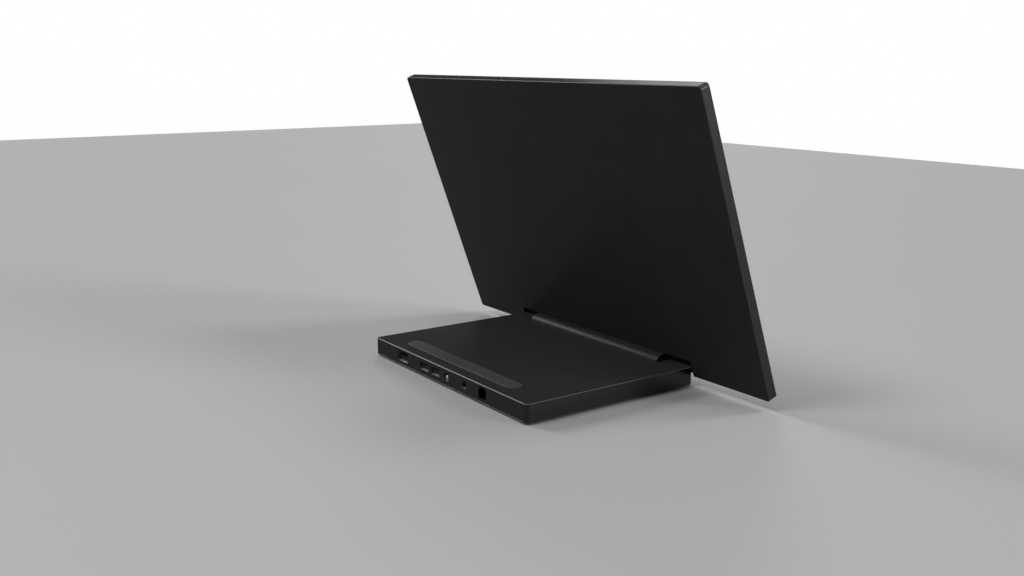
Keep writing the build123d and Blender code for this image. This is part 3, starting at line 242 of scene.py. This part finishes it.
def noise(tree, place, size, detail=3.0, stretch=(1.0, 1.0, 1.0), seed=0.0):
    """Noise whose features are about size metres across. The seed moves it along, to another part."""
    moved = add(tree, "Mapping", {"Vector": place, "Scale": stretch,
                                  "Location": [seed * step for step in SEED_STEP]}).outputs[0]
    return add(tree, "TexNoise", {"Vector": moved, "Scale": 1.0 / size, "Detail": detail}).outputs[0]


def spread(tree, value, low, high, out_low, out_high):
    """Maps low..high to out_low..out_high, clamped."""
    return add(tree, "MapRange", {"Value": value, "From Min": low, "From Max": high,
                                  "To Min": out_low, "To Max": out_high}).outputs[0]


def between(tree, mask, off, on):
    """A number that goes from off to on with a mask from 0 to 1."""
    return spread(tree, mask, 0.0, 1.0, off, on)


def mix(tree, amount, one, other):
    """Two colours mixed by amount. The node has its colours in inputs 6 and 7 and their mix in output 2."""
    node = add(tree, "Mix", {"Factor": amount}, data_type="RGBA")
    for slot, value in ((6, one), (7, other)):
        if isinstance(value, bpy.types.NodeSocket):
            tree.links.new(value, node.inputs[slot])
        else:
            node.inputs[slot].default_value = rgba(value)
    return node.outputs[2]


def bumps(tree, height, strength, depth):
    """A normal for the bump of a height from 0 to 1, depth metres deep at full strength."""
    return add(tree, "Bump", {"Strength": strength, "Distance": depth, "Height": height}).outputs[0]


def box_normal(tree, lean=0.0):
    """How far a face turns to a case's sides, front and top, each 0 to 1. lean is the case's, in degrees."""
    normal = add(tree, "VectorRotate", {"Vector": add(tree, "TexCoord").outputs["Normal"],
                                        "Angle": math.radians(-lean)}, rotation_type="X_AXIS").outputs[0]
    split = add(tree, "SeparateXYZ", {0: normal}).outputs
    return [calculate(tree, "ABSOLUTE", split[axis]) for axis in "XYZ"]


def flat_sides(tree):
    """1 on the flat left and right sides."""
    return spread(tree, box_normal(tree)[0], *FLANK_TURN, 0.0, 1.0)


def cut_edges(tree, lean, upright):
    """1 on the chamfers and rounded corners of a case. upright 0 leaves out its four standing corners."""
    x, y, z = box_normal(tree, lean)
    most = calculate(tree, "MAXIMUM", calculate(tree, "MAXIMUM", x, y), z)
    edge = spread(tree, most, *EDGE_TURN, 1.0, 0.0)
    return calculate(tree, "MULTIPLY", edge, spread(tree, z, *STANDING_TURN, upright, 1.0))


def edges(tree, radius):
    """1 on edges within radius metres, 0 on flat faces."""
    soft = add(tree, "Bevel", {"Radius": radius}, samples=BEVEL_SAMPLES).outputs[0]
    true = add(tree, "NewGeometry").outputs["Normal"]
    facing = add(tree, "VectorMath", {0: soft, 1: true}, operation="DOT_PRODUCT").outputs["Value"]
    return spread(tree, facing, *WORN_TURN, 0.0, 1.0)


def finish_shader(mat, tree, colour, rough, normal=None, **fixed):
    """Ends a material with one shader. fixed names more of its inputs, with _ for a space."""
    sockets = {"Base Color": colour, "Roughness": rough}
    if normal is not None:
        sockets["Normal"] = normal
    sockets.update({key.replace("_", " "): value for key, value in fixed.items()})
    shader = add(tree, "BsdfPrincipled", sockets)
    add(tree, "OutputMaterial", {"Surface": shader.outputs[0]})
    return mat


def patchy(tree, cloud, colour, uneven):
    """A colour that is lighter and darker in patches, by the share uneven."""
    darker, lighter = ([c * share for c in rgba(colour)[:3]] for share in (1.0 - uneven, 1.0 + uneven))
    return mix(tree, spread(tree, cloud, *CLOUD_RANGE, 0.0, 1.0), darker, lighter)


def rubbed(tree, place, paint, worn, width, seed):
    """Paint that shows the worn colour along its edges, more in some spots than in others."""
    scuff = noise(tree, place, SCUFF_SIZE, seed=seed + SCUFF_SEED)
    spots = spread(tree, scuff, *SCUFF_RANGE, SCUFF_LEAST, 1.0)
    return mix(tree, calculate(tree, "MULTIPLY", edges(tree, width), spots), paint, worn)


def cut_case(tree, paint, roughness, cut):
    """Paint, roughness and metallic input of a case: painted highlight on its cut edges, painted sheen on its
    flat sides.
    """
    edge, sheen_flank = cut_edges(tree, cut["lean"], cut["upright"]), flat_sides(tree)
    paint = mix(tree, sheen_flank, mix(tree, edge, paint, cut["edge"]), cut["sheen_flank"])
    roughness = between(tree, calculate(tree, "MAXIMUM", edge, sheen_flank), roughness, CUT_ROUGH)
    sheen = calculate(tree, "MULTIPLY", edge, EDGE_METAL)
    return paint, roughness, calculate(tree, "MAXIMUM", sheen, sheen_flank)


def surface(name, colour, rough, patch=0.02, patch_rough=0.05, patch_colour=0.12, grain=0.0003, depth=0.00001,
            worn=None, worn_width=0.0004, sides=None, cut=None, stretch=(1.0, 1.0, 1.0), seed=0.0, **fixed):
    """A moulded, painted or rolled surface: uneven colour and roughness in patches, a fine grain, worn edges,
    a darker colour for its flat sides as painted shade, and for a case a painted highlight on its cut edges
    and a painted sheen on its flat sides."""
    mat, tree, place = material(name)
    cloud = noise(tree, place, patch, detail=4.0, seed=seed)
    grains = noise(tree, place, grain, detail=2.0, stretch=stretch, seed=seed + GRAIN_SEED)
    paint = patchy(tree, cloud, colour, patch_colour)
    roughness = spread(tree, cloud, *CLOUD_RANGE, rough - patch_rough, rough + patch_rough)
    if worn is not None:
        paint = rubbed(tree, place, paint, worn, worn_width, seed)
    # Flat sides in a darker colour: painted shade
    if sides is not None:
        paint = mix(tree, flat_sides(tree), paint, sides)
    # A case's cut edges get a painted highlight and its flat sides a painted sheen
    if cut is not None:
        paint, roughness, fixed["Metallic"] = cut_case(tree, paint, roughness, cut)
    return finish_shader(mat, tree, paint, roughness, bumps(tree, grains, GRAIN_BUMP, depth), **fixed)


def board_material():
    """Green solder mask over copper tracks, with pads where the mask is open."""
    mat, tree, place = material("board_green")
    cells = add(tree, "TexVoronoi", {"Vector": place, "Scale": TRACK_CELLS},
                feature="DISTANCE_TO_EDGE").outputs["Distance"]
    wide = add(tree, "TexVoronoi", {"Vector": place, "Scale": POUR_CELLS},
               distance="CHEBYCHEV").outputs["Distance"]
    dots = add(tree, "TexVoronoi", {"Vector": place, "Scale": PAD_CELLS}).outputs["Distance"]
    track = spread(tree, cells, *TRACK_RANGE, 1.0, 0.0)
    pad = spread(tree, dots, *PAD_RANGE, 1.0, 0.0)
    mask = mix(tree, spread(tree, wide, *POUR_RANGE, 0.0, 1.0), MASK_DARK, MASK_LIGHT)
    colour = mix(tree, pad, mix(tree, track, mask, MASK_TRACK), PAD_METAL)
    return finish_shader(mat, tree, colour, between(tree, pad, *BOARD_ROUGH), bumps(tree, track, *BOARD_BUMP))


def cable_material():
    """A flat cable: black film over narrow conductors that run along it."""
    mat, tree, place = material("cable_black")
    lines = add(tree, "TexWave", {"Vector": place, "Scale": CONDUCTORS}, bands_direction="X").outputs["Fac"]
    film = mix(tree, spread(tree, lines, *CONDUCTOR_RANGE, 0.0, 1.0), FILM_DARK, FILM_LIGHT)
    return finish_shader(mat, tree, film, FILM_ROUGH, bumps(tree, lines, *FILM_BUMP))


def led_material():
    """A white strip with a yellow phosphor window every few millimetres."""
    mat, tree, place = material("led_yellow")
    along = add(tree, "SeparateXYZ", {0: place}).outputs["X"]
    window = spread(tree, calculate(tree, "PINGPONG", along, LED_HALF_PITCH), *LED_HALF_WINDOW, 1.0, 0.0)
    colour = mix(tree, window, LED_STRIP, LED_PHOSPHOR)
    return finish_shader(mat, tree, colour, between(tree, window, *LED_ROUGH))


def guide_material():
    """Clear acrylic with the fine print of dots that spreads its light."""
    mat, tree, place = material("guide_clear")
    dots = add(tree, "TexVoronoi", {"Vector": place, "Scale": PRINT_DOTS}).outputs["Distance"]
    printed = spread(tree, dots, *PRINT_RANGE, 1.0, 0.0)
    colour = mix(tree, printed, ACRYLIC, PRINT_WHITE)
    return finish_shader(mat, tree, colour, between(tree, printed, *PRINT_ROUGH),
                         Transmission_Weight=ACRYLIC_CLEAR, IOR=ACRYLIC_IOR)


def glass_material():
    """The cover glass: clear, with light from the lamps let through to the panel behind it."""
    mat, tree, place = material("screen_glass")
    smear = noise(tree, place, SMEAR_SIZE, stretch=SMEAR_STRETCH)
    glass = add(tree, "BsdfPrincipled", {
        "Base Color": rgba(GLASS_TINT), "Roughness": spread(tree, smear, *SMEAR_RANGE, *SMEAR_ROUGH),
        "IOR": GLASS_IOR, "Transmission Weight": 1.0})
    clear = add(tree, "BsdfTransparent", {"Color": rgba(GLASS_SHADOW)})
    shadow = add(tree, "LightPath").outputs["Is Shadow Ray"]
    both = add(tree, "MixShader", {0: shadow, 1: glass.outputs[0], 2: clear.outputs[0]})
    add(tree, "OutputMaterial", {"Surface": both.outputs[0]})
    return mat


def panel_material():
    """The picture area, switched off: a dark polariser under the glass."""
    mat, tree, place = material("lcd_glass")
    colour = mix(tree, noise(tree, place, PANEL_PATCH, detail=2.0), PANEL_DARK, PANEL_LIGHT)
    return finish_shader(mat, tree, colour, PANEL_ROUGH)


def make_materials():
    """Every material by name: the slots' own, the leaning display's case as a darker and glossier copy of the
    case black for painted shade and highlight, and the contacts' gold.
    """
    made = {name: surface(name, **look) for name, look in SURFACES.items()}
    made.update({
        "board_green": board_material(),
        "cable_black": cable_material(),
        "led_yellow": led_material(),
        "guide_clear": guide_material(),
        "screen_glass": glass_material(),
        "lcd_glass": panel_material(),
    })
    return made


def dress_nodes(materials):
    """Gives each CAD node the procedural material of its slot. The display's case nodes get the case black's
    darker, glossier copy: painted shade and highlight.
    """
    for row in frame["record"]["subparts"]:
        name = row["material_slot"]
        if name == "case_black" and row["node"].startswith("display"):
            name = "display_case_black_shaded_copy"
        for slot in NODES[row["node"]].material_slots:
            slot.material = materials[name]


def mesh_from(name, build):
    """A mesh from a function that fills a bmesh, with outward normals."""
    bm = bmesh.new()
    build(bm)
    bmesh.ops.recalc_face_normals(bm, faces=bm.faces)
    mesh = bpy.data.meshes.new(name)
    bm.to_mesh(mesh)
    bm.free()
    return mesh


def piece(name, build, mat, body):
    """A new visible piece that rides on a body."""
    mesh = mesh_from(name, build)
    obj = bpy.data.objects.new(name, mesh)
    bpy.context.scene.collection.objects.link(obj)
    mesh.materials.append(mat)
    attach(obj, body)
    return obj


def join_rings(bm, rings):
    """Faces from each ring of vertices to the next, and a cap on both ends."""
    for one, two in zip(rings, rings[1:]):
        for k in range(len(one)):
            after = (k + 1) % len(one)
            bm.faces.new((one[k], one[after], two[after], two[k]))
    bm.faces.new(rings[0])
    bm.faces.new(rings[-1])


def ribbon(bm, path, x_mid, width, thickness):
    """A bent metal strip: a closed band along a path of Y and Z, in millimetres."""
    points = [Vector((0.0, y, z)) for y, z in path]
    rings = []
    for i, point in enumerate(points):
        ahead = points[min(i + 1, len(points) - 1)] - points[max(i - 1, 0)]
        up = Vector((0.0, -ahead.z, ahead.y)).normalized() * thickness / 2
        rings.append([bm.verts.new((Vector((x_mid + s * width / 2, 0.0, 0.0)) + point + t * up) * MM)
                      for s, t in ((-1, -1), (1, -1), (1, 1), (-1, 1))])
    join_rings(bm, rings)


def arch(span, z, rise):
    """A path of Y and Z over a span behind the face, that rises by rise in its middle."""
    start, end = span
    shares = [i / ARCH_STEPS for i in range(ARCH_STEPS + 1)]
    return [(FRONT + start + (end - start) * s, z + rise * math.sin(math.pi * s) ** 2) for s in shares]


def curved_strip(bm, x_mid, radius, degrees, stations):
    """A thin strip curved round a socket's axis, over the given angles from its bottom."""
    turns = [math.radians(d) for d in degrees]

    def row(depth, r):
        y = FRONT + depth
        return [bm.verts.new(Vector((x_mid + r * math.sin(t), y, SOCKET_Z - r * math.cos(t))) * MM)
                for t in turns]

    outer = [row(depth, radius - inwards) for depth, inwards in stations]
    inner = [row(depth, radius - inwards - STRIP_THICKNESS) for depth, inwards in stations]
    last = len(turns) - 1
    rims = [(outer[0], inner[0]), (outer[-1], inner[-1])]
    for one, two in [*zip(outer, outer[1:]), *zip(inner, inner[1:]), *rims]:
        for k in range(last):
            bm.faces.new((one[k], one[k + 1], two[k + 1], two[k]))
    for k in (0, last):
        for i in range(len(stations) - 1):
            bm.faces.new((outer[i][k], outer[i + 1][k], inner[i + 1][k], inner[i][k]))


def video_contacts(bm):
    """Narrow contacts over and under the tongue. The lower row stands half a pitch aside."""
    for count, face, rise in ((VIDEO_TOP_COUNT, VIDEO_TONGUE_TOP, VIDEO_ARCH),
                              (VIDEO_UNDER_COUNT, VIDEO_TONGUE_UNDER, -VIDEO_ARCH)):
        for i in range(count):
            x = VIDEO_X + (i - (count - 1) / 2) * VIDEO_PITCH
            ribbon(bm, arch(VIDEO_SPAN, SOCKET_Z + face, rise), x, *VIDEO_STRIP)


def usb_contacts(bm):
    """Four contacts bowed out under each tongue. The outer two start nearer to the face."""
    z = SOCKET_Z + USB_TONGUE_UNDER
    for x in USB_X:
        for dx, start in USB_STARTS:
            bow = [(FRONT + start + dy, z + dz) for dy, dz in USB_BOW]
            ribbon(bm, bow + [(FRONT + USB_END, z)], x + dx, *USB_STRIP)


def upstream_contacts(bm):
    """Two contacts on each face of the square socket's tongue."""
    for side in (1, -1):
        path = arch(UPSTREAM_SPAN, SOCKET_Z + side * UPSTREAM_TONGUE_HALF, side * UPSTREAM_ARCH)
        for dx in (-UPSTREAM_SIDE, UPSTREAM_SIDE):
            ribbon(bm, path, UPSTREAM_X + dx, *UPSTREAM_STRIP)


def usb_springs(bm):
    """Leaf springs on the inside of each shell's top and bottom, which hold the plug."""
    level = USB_SHELL_INSIDE - SPRING_STRIP[1] / 2
    for x in USB_X:
        for dx in (-SPRING_SIDE, SPRING_SIDE):
            for side in (-1, 1):
                path = arch(SPRING_SPAN, SOCKET_Z + side * level, -side * SPRING_ARCH)
                ribbon(bm, path, x + dx, *SPRING_STRIP)


def power_contact(bm):
    """The power socket's outer contact, a sprung cradle along the bottom of its bore."""
    curved_strip(bm, DC_X, DC_BORE - CRADLE_GAP, CRADLE_ANGLES, CRADLE_STATIONS)


def audio_shade_liner(bm):
    """Dark liner in the audio sleeve: painted shade on the bore's top and sides, leaving the sleeve's bottom
    bright.
    """
    curved_strip(bm, AUDIO_X, AUDIO_SLEEVE_INSIDE - SHADE_LINER_GAP, SHADE_LINER_ANGLES, SHADE_LINER_STATIONS)


def fit_sockets(materials):
    """The contacts, springs and liner in the sockets. A row names a piece, its material and its slot."""
    for name, build, mat, slot in (
            ("video_contacts", video_contacts, "contact_gold", "socket_metal"),
            ("usb_contacts", usb_contacts, "contact_gold", "socket_metal"),
            ("upstream_contacts", upstream_contacts, "contact_gold", "socket_metal"),
            ("usb_shell_springs", usb_springs, "socket_metal", "socket_metal"),
            ("dc_jack_contact", power_contact, "socket_metal", "socket_metal"),
            # The audio socket's liner is painted shade in its bore
            ("audio_jack_shade_liner", audio_shade_liner, "socket_plastic", "socket_plastic")):
        piece(name, build, materials[mat], "base")


def cross_screw(bm, x, y, length):
    """A screw with a cross recess in the face of its head, which looks down, and its shank upwards."""
    turns = [math.radians(90 * arm + a) for arm in range(4) for a in CROSS_ANGLES]
    sines = [max(abs(math.sin(math.radians(a))), LEAST_SINE) for a in CROSS_ANGLES]
    cross = [min(CROSS_REACH, CROSS_HALF_WIDTH / sine) for sine in sines] * 4

    def ring(radii, height):
        z = FOOT_HEIGHT + HEAD_SINK + height
        return [bm.verts.new(Vector((x + r * math.cos(t), y + r * math.sin(t), z)) * MM)
                for r, t in zip(radii, turns)]

    rings = [ring([r * share for r in cross], depth) for share, depth in CROSS_LEVELS]
    for radius, height in (*HEAD_PROFILE, (SCREW_RADIUS, SCREW_HEAD_HEIGHT + length)):
        rings.append(ring([radius] * len(turns), height))
    join_rings(bm, rings)


def cross_screws(bm):
    """All screws of the bottom cover."""
    for x, behind, shank in COVER_SCREWS:
        cross_screw(bm, x, FRONT + behind, shank)


def fit_screws(materials):
    """The bottom cover's screws, with the cross recess that a driver needs."""
    screws = piece("cross_head_screws", cross_screws, materials["screw_black"], "base")
    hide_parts("bottom_cover_screws")


def make_camera():
    """The photograph's camera."""
    data = bpy.data.cameras.new("camera")
    data.lens, data.sensor_width, data.clip_start = CAMERA_LENS, SENSOR, CAMERA_NEAR
    cam = bpy.data.objects.new("camera", data)
    cam.location = CAMERA_AT
    cam.rotation_euler = (math.radians(90 - CAMERA_DOWN), 0.0, math.radians(CAMERA_YAW))
    bpy.context.scene.collection.objects.link(cam)
    bpy.context.scene.camera = cam


def floor_material():
    """A pale matt grey, a very little uneven."""
    mat, tree, place = material("studio_floor")
    cloud = noise(tree, place, FLOOR_PATCH, detail=2.0)
    grey = mix(tree, cloud, FLOOR_GREY * (1.0 - FLOOR_UNEVEN), FLOOR_GREY * (1.0 + FLOOR_UNEVEN))
    return finish_shader(mat, tree, grey, FLOOR_ROUGH, Specular_IOR_Level=FLOOR_SPECULAR)


def make_floor():
    """A plain pale floor with its far corner where the photograph has it."""
    mesh = bpy.data.meshes.new("studio_floor")
    x0, y1 = FLOOR_CORNER
    x1, y0 = x0 + FLOOR_SIZE[0], y1 - FLOOR_SIZE[1]
    mesh.from_pydata([(x0, y0, 0.0), (x1, y0, 0.0), (x1, y1, 0.0), (x0, y1, 0.0)], [], [(0, 1, 2, 3)])
    mesh.materials.append(floor_material())
    floor = bpy.data.objects.new("studio_floor", mesh)
    bpy.context.scene.collection.objects.link(floor)


def lamp(name, direction, strength):
    """A soft sun that stands in the given direction."""
    data = bpy.data.lights.new(name, "SUN")
    data.energy, data.angle = strength, LAMP_ANGLE
    obj = bpy.data.objects.new(name, data)
    obj.rotation_mode = "QUATERNION"
    obj.rotation_quaternion = Vector(direction).to_track_quat("Z", "Y")
    bpy.context.scene.collection.objects.link(obj)


def make_backdrop():
    """A backdrop, white at the horizon and dimmer above, and an even light from it on matt surfaces."""
    world = bpy.data.worlds.new("studio")
    bpy.context.scene.world = world
    world.use_nodes = True
    tree = world.node_tree
    tree.nodes.clear()
    height = add(tree, "SeparateXYZ", {0: add(tree, "TexCoord").outputs["Generated"]}).outputs["Z"]
    backdrop = spread(tree, height, *BACKDROP_FADE, 1.0, BACKDROP_ABOVE)
    path = add(tree, "LightPath").outputs
    seen = calculate(tree, "MAXIMUM", path["Is Camera Ray"], path["Is Glossy Ray"])
    seen = calculate(tree, "MAXIMUM", seen, path["Is Transmission Ray"])
    background = add(tree, "Background", {"Color": mix(tree, seen, ROOM_LIGHT, backdrop)})
    add(tree, "OutputWorld", {"Surface": background.outputs[0]})


def main():
    materials = make_materials()
    dress_nodes(materials)
    fit_sockets(materials)
    fit_screws(materials)
    make_camera()
    make_floor()
    make_backdrop()
    for name, direction, strength in LAMPS:
        lamp(name, direction, strength)
    bpy.context.scene.view_settings.view_transform = "Standard"


main()
